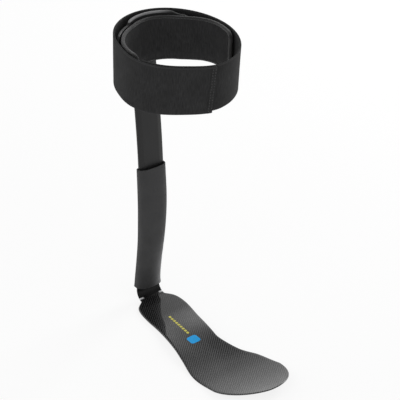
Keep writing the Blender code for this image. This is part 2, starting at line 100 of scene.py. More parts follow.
# ---- strut
STRUT_T = 4.0
TONGUE_T = 1.6
STRUT_BEVEL_W = 5.5
STRUT_BEVEL_D = 1.5
STRUT_TOP_Z = 327.0
STRUT_TOP_TAPER = 7.0  # the top corners are cut over this height,
STRUT_TOP_CUT = 4.5  # by this much on each side
STRUT_FOOT_Z = 15.5
SPAR_FOOT_SHARE = 0.4  # the spar tapers to this share of its thickness at its foot
SPAR_TAPER = 8.0
ANKLE_Z = 75.0
STRUT_FRONT = [
    (11.2, -30), (22, -29.6), (45, -26.4), (85, -20.7), (120, -18.6), (175, -20.2), (220, -23.8),
    (285, -31.6), (329, -36.5),
]
STRUT_HALF_W = [(11.2, BEND_HALF_W), (20, 13), (60, 13), (105, 14.6), (180, 14.9), (329, 14.9)]

# ---- sleeve
SLEEVE_BOTTOM_Z = 14.0
SLEEVE_TOP_Z = 164.0
SLEEVE_T = 1.2
SLEEVE_SIDE = 1.7
SLEEVE_FRONT = 9.8  # from the strut's middle plane
SLEEVE_BACK = 4.0
SLEEVE_FRONT_POWER = 2.4  # roundness of its section: 2 is an ellipse, more is boxier
SLEEVE_BACK_POWER = 6.0
SLEEVE_THINNING = (128.0, SLEEVE_TOP_Z, 2.8)  # its front comes in between two heights, by this much
TENDON_PAD_Z = (20.0, 160.0)
TENDON_PAD_HALF_W = 9.5
TENDON_PAD_T = 3.8
TENDON_PAD_THINNING = (120.0, 155.0, 2.0)
SEAM_TAPE_HALF_W = 5.0
SEAM_TAPE_T = 0.7

# ---- calf cuff
STRAP_W = 52.0
RING_TOP = {"back": -46.0, "front": 99.5, "half_w": 57.8, "z": 330.8, "front_rise": 2.2}
RING_BOTTOM = {"back": -42.5, "front": 90.5, "half_w": 59.6, "z": 330.8 - STRAP_W, "front_rise": -0.3}
RING_FLAT = {"angle": -150.0, "span": 38.0, "depth": 4.4}
STRAP_T = 2.0
HOOK_T = 0.9
FLAP_RISE = STRAP_T + GAP + HOOK_T + GAP  # the flap stands this far out, over the under arm
HINGE_ANGLE = 70.0
FLAP_END_ANGLE = 176.0
FLAP_HOOK_ANGLE = 138.0
UNDER_END_ANGLE = 255.0
SHELL_T = 2.4
SHELL_ANGLES = (-64.0, 58.0)
SHELL_CROWN = (-33.0, -27.0, 34.0, 50.0)
SHELL_BOTTOM = 0.05 * STRAP_W
SHELL_TOP = 1.06 * STRAP_W
SHELL_WING_TOP = 0.99 * STRAP_W
SHELL_CORNER = 9.0
SHELL_TO_PAD = SHELL_T + GAP + HOOK_T + GAP
PAD_ANGLES = (-100.0, 112.0)
PAD_DEPTH = [
    (-100, 2.6), (-84, 3.2), (-70, 4.8), (-64, 6.4), (-52, 9.6), (-40, 13), (-28, 15.5), (44, 15.5),
    (59, 12.2), (72, 7.1), (86, 4.2), (112, 4.2),
]
PAD_LOW, PAD_HIGH = 0.08 * STRAP_W, STRAP_W
PAD_CORNER = 7.0
PAD_T = 5.6
PAD_EDGE_T = 3.8  # over the binding tape
PAD_EDGE_REACH = 2.6  # of the binding tape, in from the pad's edge
PAD_HOOKS = {"pad_hook_outer": -20, "pad_hook_inner": 30}  # the middle angle of each hook strip
PAD_SKIN_T = 0.8
PAD_COVER_CAP = 2.2  # how far the simulation may move a point
STRAP_PATCH_Z = (298.0, 313.0)
RIVET_HEIGHTS = (289.0, 319.0)
RIVET_SHANK_R = 1.9
RIVET_HEAD_R = 4.0
RIVET_HEAD_T = 0.7

# ---- studio
WALL_LIGHT = 0.98
CEILING_LIGHT = 0.25


# ---------------------------------------------------------------- curves


def smooth_step(low, high, value):
    t = min(1.0, max(0.0, (value - low) / (high - low)))
    return t * t * (3 - 2 * t)


def steps(low, high, count):
    return [low + (high - low) * k / count for k in range(count + 1)]


def through(knots, x):
    """Value at x of the smooth curve through (x, value) knots, level beyond its ends."""
    if x <= knots[0][0]:
        return knots[0][1]
    if x >= knots[-1][0]:
        return knots[-1][1]
    slopes = []
    for i in range(len(knots)):
        low, high = knots[max(i - 1, 0)], knots[min(i + 1, len(knots) - 1)]
        slopes.append((high[1] - low[1]) / (high[0] - low[0]))
    i = next(k for k in range(len(knots) - 1) if x <= knots[k + 1][0])
    (x0, y0), (x1, y1) = knots[i], knots[i + 1]
    span = x1 - x0
    t = (x - x0) / span
    return (
        y0 * (1 + 2 * t) * (1 - t) ** 2
        + slopes[i] * span * t * (1 - t) ** 2
        + y1 * t * t * (3 - 2 * t)
        + slopes[i + 1] * span * t * t * (t - 1)
    )


def plate_lift(x, y):
    """Height of the plate's underside over the floor: the arch, then the toe spring."""
    side = ARCH_OUTER_SHARE + (1 - ARCH_OUTER_SHARE) * smooth_step(-25, 25, y)
    rise = smooth_step(HEEL_FLAT_X, ARCH_RISE_END_X, x)
    arch = ARCH_LIFT * side * rise * (1 - smooth_step(ARCH_FALL_X, BALL_X - 2, x))
    past_ball = max(0.0, x - BALL_X - 3) / (TOE_TIP_X - BALL_X - 3)
    return arch + TOE_SPRING * past_ball**2


def plate_thickness(x):
    return PLATE_HEEL_T + (PLATE_TOE_T - PLATE_HEEL_T) * smooth_step(40, TOE_ROUND_X, x)


def plate_edges(x):
    """(outer, inner) edge of the plate at x, as y values."""
    if x <= TOE_ROUND_X:
        return -through(OUTER_EDGE, x), through(INNER_EDGE, x)
    t = min(1.0, (x - TOE_ROUND_X) / (TOE_TIP_X - TOE_ROUND_X))
    outer = (OUTER_EDGE[-1][1] + TOE_CENTRE_Y) * (1 - t**TOE_OUTER_POWER) ** (1 / TOE_OUTER_POWER)
    inner = (INNER_EDGE[-1][1] - TOE_CENTRE_Y) * (1 - t**2) ** 0.5
    return TOE_CENTRE_Y - outer, TOE_CENTRE_Y + inner


def strut_front(z):
    return through(STRUT_FRONT, z)


def strut_lean(z):
    """Unit vector along the strut's front normal, in the X-Z plane."""
    slope = (strut_front(z + 1) - strut_front(z - 1)) / 2
    return Vector((1, 0, -slope)).normalized()


def ring_flat(angle):
    """How far every cuff layer lies inside the oval at an angle."""
    away = abs((angle - RING_FLAT["angle"] + 180) % 360 - 180)
    return RING_FLAT["depth"] * (1 - smooth_step(0, RING_FLAT["span"], away))


def ring_point(angle, height, depth):
    """A point of the cuff. angle is in degrees round from the back, positive towards +Y; height is in
    millimetres over the strap's lower edge; depth is inwards from the strap's outer surface."""
    a = math.radians(angle)
    share = height / STRAP_W
    ring = {key: low + (RING_TOP[key] - low) * share for key, low in RING_BOTTOM.items()}
    half_w, half_d = ring["half_w"], (ring["front"] - ring["back"]) / 2
    x = ring["back"] + half_d * (1 - math.cos(a))
    z = ring["z"] + ring["front_rise"] * (1 - math.cos(a)) / 2
    inward = Vector((math.cos(a) / half_d, -math.sin(a) / half_w, 0)).normalized()
    return Vector((x, half_w * math.sin(a), z)) + inward * (depth + ring_flat(angle))


def pad_depth(angle):
    """Depth of the pad's outer face: behind the shell at the back, close to the strap at the sides."""
    return through(PAD_DEPTH, angle)


def shell_depth(angle):
    """The shell follows the pad, outside it and its hook strips."""
    return pad_depth(angle) - SHELL_TO_PAD


def shell_top(angle):
    """Height of the shell's upper edge: a raised middle between two wings."""
    rise, crest, fall, end = SHELL_CROWN
    crown = smooth_step(rise, crest, angle) * (1 - smooth_step(fall, end, angle))
    return SHELL_WING_TOP + (SHELL_TOP - SHELL_WING_TOP) * crown


def flap_depth(angle):
    return -FLAP_RISE * smooth_step(HINGE_ANGLE + 2, 105, -angle)


# ---------------------------------------------------------------- meshes


def make_piece(name, points, lays, faces, finish, crease=35):
    """An object from points in millimetres. Points that fall together are welded, and the faces that
    have no area then go."""
    shape = bmesh.new()
    lay = shape.verts.layers.float_vector.new("lay")
    corners = []
    for point, where in zip(points, lays):
        corner = shape.verts.new(Vector(point))
        corner[lay] = Vector(where)
        corners.append(corner)
    for face in faces:
        shape.faces.new([corners[i] for i in face])
    bmesh.ops.remove_doubles(shape, verts=shape.verts, dist=WELD)
    bmesh.ops.dissolve_degenerate(shape, edges=shape.edges, dist=WELD / 4)
    bmesh.ops.scale(shape, vec=(MM, MM, MM), verts=shape.verts)
    bmesh.ops.recalc_face_normals(shape, faces=shape.faces)
    mesh = bpy.data.meshes.new(name)
    shape.to_mesh(mesh)
    shape.free()
    mesh.materials.append(finish)
    mesh.shade_smooth()
    mesh.set_sharp_from_angle(angle=math.radians(crease))
    obj = bpy.data.objects.new(name, mesh)
    bpy.context.scene.collection.objects.link(obj)
    return obj


def weave_faces(rows, columns, wrap_rows, cap):
    """Quads between rows of points, each row closed on itself."""
    faces = []
    for k in range(rows if wrap_rows else rows - 1):
        a, b = k * columns, (k + 1) % rows * columns
        for i in range(columns):
            j = (i + 1) % columns
            faces.append((a + i, b + i, b + j, a + j))
    if cap:
        faces.append(tuple(range(columns)))
        faces.append(tuple(range((rows - 1) * columns, rows * columns)))
    return faces


def sweep(name, sections, finish, wrap=False, cap=True, crease=35):
    """A solid through sections, each a closed list of (point, lay) pairs of the same length."""
    points = [point for section in sections for point, _ in section]
    lays = [where for section in sections for _, where in section]
    faces = weave_faces(len(sections), len(sections[0]), wrap, cap and not wrap)
    return make_piece(name, points, lays, faces, finish, crease)


def flat_section(low, high, thick, corner, across=16, turn=4):
    """Outline of a strip's section as (height, depth) pairs: a rectangle with round corners. Depth runs
    from 0 on the outer face to thick on the inner one."""
    quarter = [(corner * math.sin(q), corner * math.cos(q)) for q in steps(0, math.pi / 2, turn)]
    bottom, top, inner = low + corner, high - corner, thick - corner
    outline = [(h, 0.0) for h in steps(bottom, top, across)[:-1]]
    outline += [(top + s, corner - c) for s, c in quarter]
    outline += [(top + c, inner + s) for s, c in quarter]
    outline += [(h, thick) for h in steps(top, bottom, across)[1:-1]]
    outline += [(bottom - s, inner + c) for s, c in quarter]
    outline += [(bottom - c, corner - s) for s, c in quarter[:-1]]
    return outline


def arc_length(first, last, depth_at):
    """Millimetres along the cuff from one angle to another, at half height."""
    count = max(2, round(abs(last - first)))
    path = [ring_point(a, STRAP_W / 2, depth_at(a)) for a in steps(first, last, count)]
    return sum((b - a).length for a, b in zip(path, path[1:]))


def end_stations(first, last, depth_at, radius, pitch, round_ends):
    """(angle, thickness share) along a strip of the cuff. The share falls to 0 at a rounded end."""
    per_degree = arc_length(first, last, depth_at) / abs(last - first)
    way = 1 if last > first else -1
    quarter = [math.pi / 2 * k / 4 for k in range(5)]
    shares = [(radius * (1 - math.cos(q)) / per_degree, math.sin(q)) for q in quarter]
    start = [(first + way * a, s) for a, s in shares] if round_ends[0] else [(first, 1.0)]
    end = [(last - way * a, s) for a, s in reversed(shares)] if round_ends[1] else [(last, 1.0)]
    low, high = start[-1][0], end[0][0]
    count = max(2, round(abs(high - low) / pitch))
    return start + [(a, 1.0) for a in steps(low, high, count)[1:-1]] + end


def strip(name, first, last, depth_at, thick, low, high, finish, slot, **how):
    """A strip of the cuff from one angle to another. low and high are its edges in millimetres over the
    strap's lower edge, or functions of the angle."""
    corner = how.get("corner", thick / 2)
    ripple = how.get("ripple")
    low_at = low if callable(low) else lambda angle: low
    high_at = high if callable(high) else lambda angle: high
    ends = how.get("round_ends", (True, True))
    sections = []
    for angle, share in end_stations(first, last, depth_at, thick / 2, how.get("pitch", 2.0), ends):
        along = math.copysign(arc_length(0, angle, depth_at), angle) if abs(angle) > 0.01 else 0.0
        depth = depth_at(angle)
        inset = thick / 2 * (1 - share)
        edges = low_at(angle) + inset, high_at(angle) - inset
        outline = flat_section(*edges, thick, corner, how.get("across", 16))
        section = []
        for height, d in outline:
            place = depth + thick / 2 + (d - thick / 2) * share
            if ripple:
                place += ripple(along, height, d)
            section.append((ring_point(angle, height, place), (along, height, d)))
        sections.append(section)
    return sweep(name, sections, finish)


def turned(name, origin, rotation, profile, finish, count=40):
    """A turned piece about the rotation's Z, from a profile of (along, radius) stations."""
    sections = []
    for along, radius in profile:
        ring = []
        for i in range(count):
            a = 2 * math.pi * i / count
            spot = Vector((radius * math.cos(a), radius * math.sin(a), along))
            ring.append((origin + rotation @ spot, tuple(spot)))
        sections.append(ring)
    return sweep(name, sections, finish)


def stitches(name, path, length, radius, finish):
    """A row of sewing stitches: each of path is (centre, along, out), and a stitch lies along its
    direction with its ends sunk in the cloth."""
    sides, stations = 6, 5
    points, lays, faces = [], [], []
    for centre, along, out in path:
        side = along.cross(out).normalized()
        start = len(points)
        for k in range(stations):
            t = k / (stations - 1)
            swell = radius * (0.55 + 0.45 * math.sin(math.pi * t))
            middle = centre + along * length * (t - 0.5) + out * radius * (1.5 * math.sin(math.pi * t) - 0.9)
            for i in range(sides):
                a = 2 * math.pi * i / sides
                points.append(middle + side * swell * math.cos(a) + out * swell * math.sin(a))
                lays.append((t * length, a, 0))
        faces += [tuple(start + i for i in face) for face in weave_faces(stations, sides, False, True)]
    return make_piece(name, points, lays, faces, finish)


# ---------------------------------------------------------------- materials


class Field:
    """A value that varies over a surface, as a node's output. Arithmetic on it adds math nodes."""

    def __init__(self, finish, socket):
        self.finish, self.socket = finish, socket

    def __add__(self, other):
        return self.finish.math("ADD", self, other)

    def __mul__(self, other):
        return self.finish.math("MULTIPLY", self, other)

    def __pow__(self, other):
        return self.finish.math("POWER", self, other)

    def __rsub__(self, other):
        return self.finish.math("SUBTRACT", other, self)


class Finish:
    """A Principled material whose details are built up from nodes."""

    def __init__(self, name, colour, roughness, **sockets):
        self.material = bpy.data.materials.new(name)
        self.material.use_nodes = True
        self.tree = self.material.node_tree
        self.shader = self.tree.nodes["Principled BSDF"]
        self.shader.inputs["Base Color"].default_value = (*colour, 1)
        self.shader.inputs["Roughness"].default_value = roughness
        for socket, value in sockets.items():
            self.shader.inputs[socket.replace("_", " ")].default_value = value

    def put(self, value, socket):
        """Links a field, or sets a plain value."""
        if isinstance(value, Field):
            self.tree.links.new(value.socket, socket)
        else:
            socket.default_value = value

    def node(self, kind, *values, **settings):
        """A new node, whose first inputs take the values in turn."""
        made = self.tree.nodes.new("ShaderNode" + kind)
        for key, value in settings.items():
            setattr(made, key, value)
        for value, socket in zip(values, made.inputs):
            self.put(value, socket)
        return made

    def lay(self):
        """The along, across and depth coordinates, in millimetres."""
        source = self.node("Attribute", attribute_name="lay")
        parts = self.node("SeparateXYZ", Field(self, source.outputs["Vector"]))
        return [Field(self, output) for output in parts.outputs]

    def place(self):
        return Field(self, self.node("TexCoord").outputs["Object"])

    def math(self, operation, *values):
        return Field(self, self.node("Math", *values, operation=operation).outputs[0])

    def sine(self, value):
        return self.math("SINE", value)

    def vector(self, x, y):
        return Field(self, self.node("CombineXYZ", x, y).outputs[0])

    def noise_at(self, where, scale, detail):
        made = self.node("TexNoise", where)
        made.inputs["Scale"].default_value = scale
        made.inputs["Detail"].default_value = detail
        return Field(self, made.outputs[0])

    def noise(self, along, across, scale, detail=2.0):
        return self.noise_at(self.vector(along, across), scale, detail)

    def cells(self, where, scale, feature):
        made = self.node("TexVoronoi", where, feature=feature)
        made.inputs["Scale"].default_value = scale
        return Field(self, made.outputs["Distance"])

    def ramp(self, value, low, high, to_low=0.0, to_high=1.0):
        made = self.node("MapRange", value, low, high, to_low, to_high, clamp=True)
        return Field(self, made.outputs[0])

    def blend(self, share, a, b):
        """A colour from a, where share is 0, to b, where it is 1."""
        made = self.node("Mix", data_type="RGBA")
        self.put(share, made.inputs["Factor"])
        for colour, socket in ((a, made.inputs["A"]), (b, made.inputs["B"])):
            self.put((*colour, 1) if isinstance(colour, tuple) else colour, socket)
        return Field(self, made.outputs["Result"])

    def colour(self, value):
        self.put(value, self.shader.inputs["Base Color"])

    def roughness(self, value):
        self.put(value, self.shader.inputs["Roughness"])

    def bump(self, height, depth, strength=1.0):
        """Relief of the given depth in millimetres."""
        made = self.node("Bump")
        made.inputs["Strength"].default_value = strength
        made.inputs["Distance"].default_value = depth * MM
        self.put(height, made.inputs["Height"])
        self.put(Field(self, made.outputs[0]), self.shader.inputs["Normal"])


def grey(value):
    return (value, value, value * 1.02)


def times(colour, share):
    return tuple(c * share for c in colour)


def carbon_twill():
    """Fine two-by-two twill of carbon tows under a clear, glossy resin coat. The weave is painted brighter
    from the heel to the ball, as painted light. The heel bend has a thinner coat and painted shade, with a
    painted glint at each end of its fold."""
    made = Finish(
        "carbon_twill", grey(0.03), 0.5, Coat_Weight=1.0, Coat_Roughness=0.03, Coat_IOR=1.5,
        Specular_IOR_Level=0.1, Anisotropic=0.5,
    )
    tow = 0.77  # width of one tow
    along, across, _ = made.lay()
    u, v = made.math("DIVIDE", along, tow), made.math("DIVIDE", across, tow)
    diagonal = made.math("FLOOR", u) + made.math("FLOOR", v)
    lengthwise = made.math("LESS_THAN", made.math("FLOORED_MODULO", diagonal, 4.0), 1.5)
    over = lengthwise * made.sine(made.math("FRACT", v) * math.pi)
    under = (1.0 - lengthwise) * made.sine(made.math("FRACT", u) * math.pi)
    fibres = made.noise(along * 0.25, across, 3.0, 3.0)
    cloud = made.noise(along, across, 0.035, 1.0)
    shade = (over + under * 0.12) * made.ramp(fibres, 0.3, 0.7, 0.75, 1.15)
    shade = shade * made.ramp(cloud, 0.3, 0.7, 0.85, 1.1)
    # On the heel bend the coat thins, and the colour there is darkened as painted shade.
    coat_and_painted_shade = made.ramp(along, -25.5, -23.5, 0.15, 1.0)
    # Painted light: the weave's colour is painted brighter from the heel towards the ball.
    shade = shade**1.7 * made.ramp(along, 10.0, 80.0, 0.45, 1.4)
    weave = made.blend(shade * coat_and_painted_shade, grey(0.001), grey(0.11))
    # Painted glints: a pale mark at each end of the heel bend's fold.
    fold = made.ramp(along, -26.4, -25.6) * made.ramp(along, -24.2, -23.4, 1.0, 0.0)
    painted_glints = fold * made.ramp(made.math("ABSOLUTE", across), 9.0, 11.0)
    made.colour(made.blend(painted_glints * 0.8, weave, grey(0.75)))
    made.put(coat_and_painted_shade, made.shader.inputs["Coat Weight"])
    made.bump(over + under, 0.03, 0.35)
    return made.material


def strut_satin():
    """Satin carbon spar: long fibres run up it under a thin rubbed coat."""
    made = Finish("strut_satin", grey(0.02), 0.5, Specular_IOR_Level=0.3)
    along, across, _ = made.lay()
    fibres = made.noise(along * 0.02, across, 2.2, 4.0)
    marks = made.noise(along, across, 0.08, 3.0)
    shade = made.ramp(fibres, 0.3, 0.7, 0.7, 1.3) * made.ramp(marks, 0.3, 0.7, 0.85, 1.15)
    made.colour(made.blend(shade * 0.5, grey(0.004), grey(0.020)))
    made.roughness(made.ramp(fibres, 0.2, 0.8, 0.36, 0.5))
    made.bump(fibres, 0.04, 0.5)
    return made.material


def knit(name, colour, pitch, relief):
    """A fine stretch knit: columns of loops, each a small v, with a soft pile. Low down it carries a painted
    highlight on its inner side, and painted shade at the front of its foot."""
    made = Finish(name, colour, 0.85, Sheen_Weight=0.16, Sheen_Roughness=0.35, Specular_IOR_Level=0.25)
    along, across, _ = made.lay()
    column = across * (2 * math.pi / pitch)
    lean = made.math("ABSOLUTE", made.sine(column * 0.5))
    course = (along + lean * (pitch * 0.6)) * (2 * math.pi / pitch)
    loops = made.math("COSINE", column) * 0.5 + made.sine(course) * 0.5
    fuzz = made.noise(along, across, 1.7, 4.0)
    worn = made.noise(along, across, 0.06, 3.0)
    shade = made.ramp(fuzz, 0.3, 0.7, -0.2, 0.2) + made.ramp(loops, -1.0, 1.0, 0.35, 0.65)
    shade = shade * made.ramp(worn, 0.3, 0.7, 0.85, 1.15)
    # Painted highlight: low down on the inner side the cloth is painted much paler.
    inner_side = made.ramp(across, -3.0, 12.0) * made.ramp(across, 15.0, 23.0, 1.0, 0.0)
    painted_side_highlight = made.ramp(along, 45.0, 85.0, 1.0, 0.0) * inner_side**1.6
    # Painted shade: the front of the sleeve's foot is painted darker.
    front = made.ramp(across, 0.0, 5.0, 1.0, 0.0) * made.ramp(across, -23.0, -15.0)
    painted_foot_shade = made.ramp(along, 15.0, 45.0, 0.65, 0.0) * front
    cloth = made.blend(shade * (1.0 - painted_foot_shade), times(colour, 0.45), times(colour, 1.55))
    made.colour(made.blend(painted_side_highlight, cloth, times(colour, 4.8)))
    made.bump(loops + fuzz, relief)
    return made.material


def ribbed_cloth(name, colour, pitch, relief, edges=None):
    """Woven or brushed cloth with upright ribs, broken up by the pile. Between the two edge heights the
    cloth is plain; beyond them the bound edge is slightly lighter, with a painted highlight along the top."""
    made = Finish(name, colour, 0.9, Sheen_Weight=0.02, Sheen_Roughness=0.5, Specular_IOR_Level=0.12)
    along, across, _ = made.lay()
    waver = made.noise(along, across * 0.3, 0.25)
    rib = made.sine((along + waver) * (2 * math.pi / pitch))
    streak = made.noise(along, across * 0.16, 0.9, 3.0)
    fuzz = made.noise(along, across, 2.6, 4.0)
    cloud = made.noise(along, across, 0.05, 3.0)
    shade = made.ramp(rib, -1.0, 1.0, 0.4, 0.6) + made.ramp(streak, 0.3, 0.7, -0.22, 0.22)
    shade = (shade + made.ramp(fuzz, 0.3, 0.7, -0.15, 0.15)) * made.ramp(cloud, 0.3, 0.7, 0.8, 1.2)
    if edges:
        low, high = edges
        # The top edge gets a painted highlight, and the bottom edge is slightly lighter.
        shade = shade + made.ramp(across, high - 0.4, high + 0.2, 0.0, 0.8)
        shade = shade + made.ramp(across, low - 0.2, low + 0.4, 0.25, 0.0)
    made.colour(made.blend(shade, times(colour, 0.45), times(colour, 1.6)))
    made.bump(rib * 0.5 + (fuzz + streak), relief)
    return made.material


def binding_tape(name, colour):
    """Narrow woven tape: slanting ribs across it."""
    made = Finish(name, colour, 0.8, Sheen_Weight=0.3, Sheen_Roughness=0.4)
    along, across, _ = made.lay()
    rib = made.sine((along + across * 0.7) * (2 * math.pi / 0.9))
    fuzz = made.noise(along, across, 2.2, 3.0)
    shade = made.ramp(rib, -1.0, 1.0, 0.3, 0.7) + made.ramp(fuzz, 0.3, 0.7, -0.2, 0.2)
    made.colour(made.blend(shade, times(colour, 0.6), times(colour, 1.4)))
    made.bump(rib + fuzz, 0.12)
    return made.material


def hook_tape():
    """The stiff side of touch tape: close rows of small hooks on a woven ground."""
    made = Finish("hook_tape_finish", grey(0.014), 0.5)
    along, across, _ = made.lay()
    hooks = made.ramp(made.cells(made.vector(along, across), 1.1, "F1"), 0.1, 0.45, 1.0, 0.0)
    made.colour(made.blend(hooks, grey(0.006), grey(0.03)))
    made.roughness(made.ramp(hooks, 0.0, 1.0, 0.8, 0.35))
    made.bump(hooks, 0.4)
    return made.material


def open_foam():
    made = Finish("open_foam", grey(0.02), 0.95)
    cells = made.cells(made.place(), 900.0, "SMOOTH_F1")
    made.colour(made.blend(cells, grey(0.004), grey(0.035)))
    made.bump(cells, 0.35)
    return made.material


def shell_plastic():
    """Moulded shell with a satin face. The trimmed edge of its crown carries a painted highlight on the outer
    half.
    """
    made = Finish(
        "shell_gloss", grey(0.03), 0.4, Coat_Weight=0.1, Coat_Roughness=0.2, Specular_IOR_Level=0.25
    )
    along, across, _ = made.lay()
    grain = made.noise(along, across, 0.9, 3.0)
    # Painted highlight along the crown's trimmed edge, on the outer half only.
    edge = made.ramp(across, 53.0, 53.8) * made.ramp(along, 18.0, 32.0, 1.0, 0.0)
    made.colour(made.blend(edge, grey(0.016), grey(0.24)))
    made.roughness(made.ramp(grain, 0.3, 0.7, 0.35, 0.5))
    made.bump(grain, 0.03, 0.4)
    return made.material


def dark_metal():
    """Black-finished steel, turned: faint rings round each rivet head."""
    made = Finish("dark_steel", grey(0.16), 0.3, Metallic=1.0)
    x, y, _ = made.lay()
    rings = made.sine(made.math("SQRT", x * x + y * y) * 30.0)
    scratch = made.noise(x, y, 2.0, 4.0)
    made.colour(made.blend(scratch, grey(0.10), grey(0.30)))
    made.roughness(made.ramp(scratch, 0.3, 0.7, 0.22, 0.42))
    made.bump(rings, 0.02, 0.4)
    return made.material


def thread():
    made = Finish("sewing_thread", grey(0.05), 0.6, Sheen_Weight=0.3)
    along, around, _ = made.lay()
    twist = made.sine(along * 9.0 + around)
    made.colour(made.blend(made.ramp(twist, -1.0, 1.0), grey(0.025), grey(0.08)))
    made.bump(twist, 0.05)
    return made.material


def print_ink(name, colour):
    """Printed ink, slightly uneven over the weave, on top of the clear coat."""
    made = Finish(name, colour, 0.45, Coat_Weight=0.2, Coat_Roughness=0.1, Specular_IOR_Level=0.3)
    along, across, _ = made.lay()
    worn = made.noise(along, across, 0.9, 3.0)
    made.colour(made.blend(made.ramp(worn, 0.35, 0.65, 0.0, 0.35), colour, times(colour, 0.55)))
    return made.material


def pale_floor():
    """Nearly white floor that also gives off light of its own, so shadows on it stay faint."""
    made = Finish("pale_floor", (0.5, 0.5, 0.5), 0.9, Emission_Strength=0.825, Specular_IOR_Level=0.0)
    made.shader.inputs["Emission Color"].default_value = (1, 1, 1, 1)
    made.colour(made.blend(made.noise_at(made.place(), 1.5, 1.0), (0.19, 0.19, 0.19), (0.21, 0.21, 0.21)))
    return made.material


# ---------------------------------------------------------------- sole plate


def sole_stations():
    """Stations along the laminate from the top of the tongue to the toe tip. Each holds its middle
    surface as a function of (y, shift along), then the normal, the thickness and the two edges."""
    stations = []
    for z in steps(ANKLE_Z - 1, BEND_RADIUS + PLATE_HEEL_T + 1.5, 26):
        normal = strut_lean(z)
        middle = Vector((strut_front(z), 0, z)) - normal * TONGUE_T / 2
        half = through(STRUT_HALF_W, z)
        stations.append((lambda y, shift, at=middle: Vector((at.x, y, at.z)), normal, TONGUE_T, -half, half))
    centre = Vector((strut_front(0) + BEND_RADIUS, 0, PLATE_HEEL_T + BEND_RADIUS))
    for turn in steps(0, 1, 14)[:-1]:
        angle = turn * math.pi / 2
        normal = Vector((math.cos(angle), 0, math.sin(angle)))
        thick = TONGUE_T + (PLATE_HEEL_T - TONGUE_T) * turn
        middle = centre - normal * (BEND_RADIUS + thick / 2)
        half = BEND_HALF_W + BEND_FLARE * turn**2
        stations.append((lambda y, shift, at=middle: Vector((at.x, y, at.z)), normal, thick, -half, half))

    def plate_place(x, thick):
        return lambda y, shift: Vector((x + shift, y, plate_lift(x + shift, y) + thick / 2))

    heel_x = centre.x
    straight = steps(heel_x, -10, 9)[:-1] + steps(-10, TOE_ROUND_X, 74)
    rounded = [TOE_ROUND_X + (TOE_TIP_X - TOE_ROUND_X) * math.sin(math.pi / 2 * k / 26) for k in range(1, 27)]
    for x in straight + rounded:
        thick = plate_thickness(x)
        stations.append((plate_place(x, thick), Vector((0, 0, 1)), thick, *plate_edges(x)))
    return stations


def make_sole(finish):
    """The whole laminate as one sheet: tongue, heel bend, plate and toe, with a half-round rim."""
    stations = sole_stations()
    rim = [at(outer, 0) for at, _, _, outer, _ in stations]
    rim += [at(inner, 0) for at, _, _, _, inner in reversed(stations[:-1])]
    turn, across = 6, 26
    angles = [math.pi * k / turn for k in range(1, turn)]
    sections = []
    plate_start = next(k for k, station in enumerate(stations) if station[1].z > 0.999)
    middles = [at((outer + inner) / 2, 0) for at, _, _, outer, inner in stations]
    before_plate = zip(middles, middles[1 : plate_start + 1])
    along = middles[plate_start].x - sum((b - a).length for a, b in before_plate)

    def lay_at(k, y, shift):
        """A point of the middle surface, and its (along, across): along is x once the plate lies flat."""
        spot = stations[k][0](y, shift)
        return spot, (spot.x if k > plate_start else along, y)

    for k, (at, normal, thick, outer, inner) in enumerate(stations):
        radius = thick / 2
        outs = []
        for place in (k, len(rim) - 1 - k):
            before, after = rim[max(place - 1, 0)], rim[min(place + 1, len(rim) - 1)]
            outs.append((after - before).cross(normal).normalized())
        edges = [(y - out.y * radius, -out.x * radius) for y, out in zip((outer, inner), outs)]
        along += (middles[k] - middles[k - 1]).length if k else 0.0
        top, under = [], []
        for i in range(across + 1):
            t = i / across
            y = edges[0][0] + (edges[1][0] - edges[0][0]) * t
            shift = edges[0][1] + (edges[1][1] - edges[0][1]) * t
            spot, where = lay_at(k, y, shift)
            top.append((spot + normal * radius, (*where, 0)))
            under.append((spot - normal * radius, (*where, thick)))
        section = list(top)
        for edge, out, flip in ((1, outs[1], 1), (0, outs[0], -1)):
            spot, where = lay_at(k, *edges[edge])
            section += [
                (spot + out * radius * math.sin(a) + normal * radius * math.cos(a) * flip, (*where, radius))
                for a in angles
            ]
            if edge == 1:
                section += list(reversed(under))
        sections.append(section)
    sole = sweep("sole_laminate", sections, finish)
    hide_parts("foot_plate", "toe_plate")
    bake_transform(sole)
    return sole


def plate_mark(name, x_span, y_span, corner, finish):
    """A thin printed patch with round corners that follows the plate's top."""
    lift, thick = 0.02, 0.10
    sections = []
    (x0, x1), (y0, y1) = x_span, y_span
    for x in steps(x0, x1, 14):
        ends = min(x - x0, x1 - x)
        cut = corner_cut(ends, corner)
        ys = steps(y0 + cut, y1 - cut, 8)
        top = [Vector((x, y, plate_lift(x, y) + plate_thickness(x) + lift + thick)) for y in ys]
        section = [(p, (p.x, p.y, 0)) for p in top]
        section += [(p - Vector((0, 0, thick)), (p.x, p.y, thick)) for p in reversed(top)]
        sections.append(section)
    mark = sweep(name, sections, finish)
    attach(mark, "foot")
    return mark


def make_marks(yellow, blue):
    """Plain generic marks where the real plate is printed: a broken yellow line and a blue tab."""
    dashes, start, end = 9, 20.0, 63.0
    pitch, half_w = (end - start) / dashes, 1.3
    for k in range(dashes):
        x = start + pitch * k
        y = -7.3 - 4.5 * k / dashes
        plate_mark(f"line_mark_{k + 1}", (x, x + pitch * 0.72), (y - half_w, y + half_w), 0.8, yellow)
    plate_mark("tab_mark", (67.5, 79.5), (-19.0, -7.5), 2.5, blue)


# ---------------------------------------------------------------- strut


def fillet(corners, radius, turn=3):
    """A polygon with each corner rounded off."""
    rounded = []
    for i, corner in enumerate(corners):
        here = Vector(corner)
        before, after = Vector(corners[i - 1]) - here, Vector(corners[(i + 1) % len(corners)]) - here
        a = here + before.normalized() * min(radius, before.length * 0.45)
        b = here + after.normalized() * min(radius, after.length * 0.45)
        for k in range(turn + 1):
            t = k / turn
            rounded.append(a * (1 - t) ** 2 + here * 2 * t * (1 - t) + b * t * t)
    return rounded


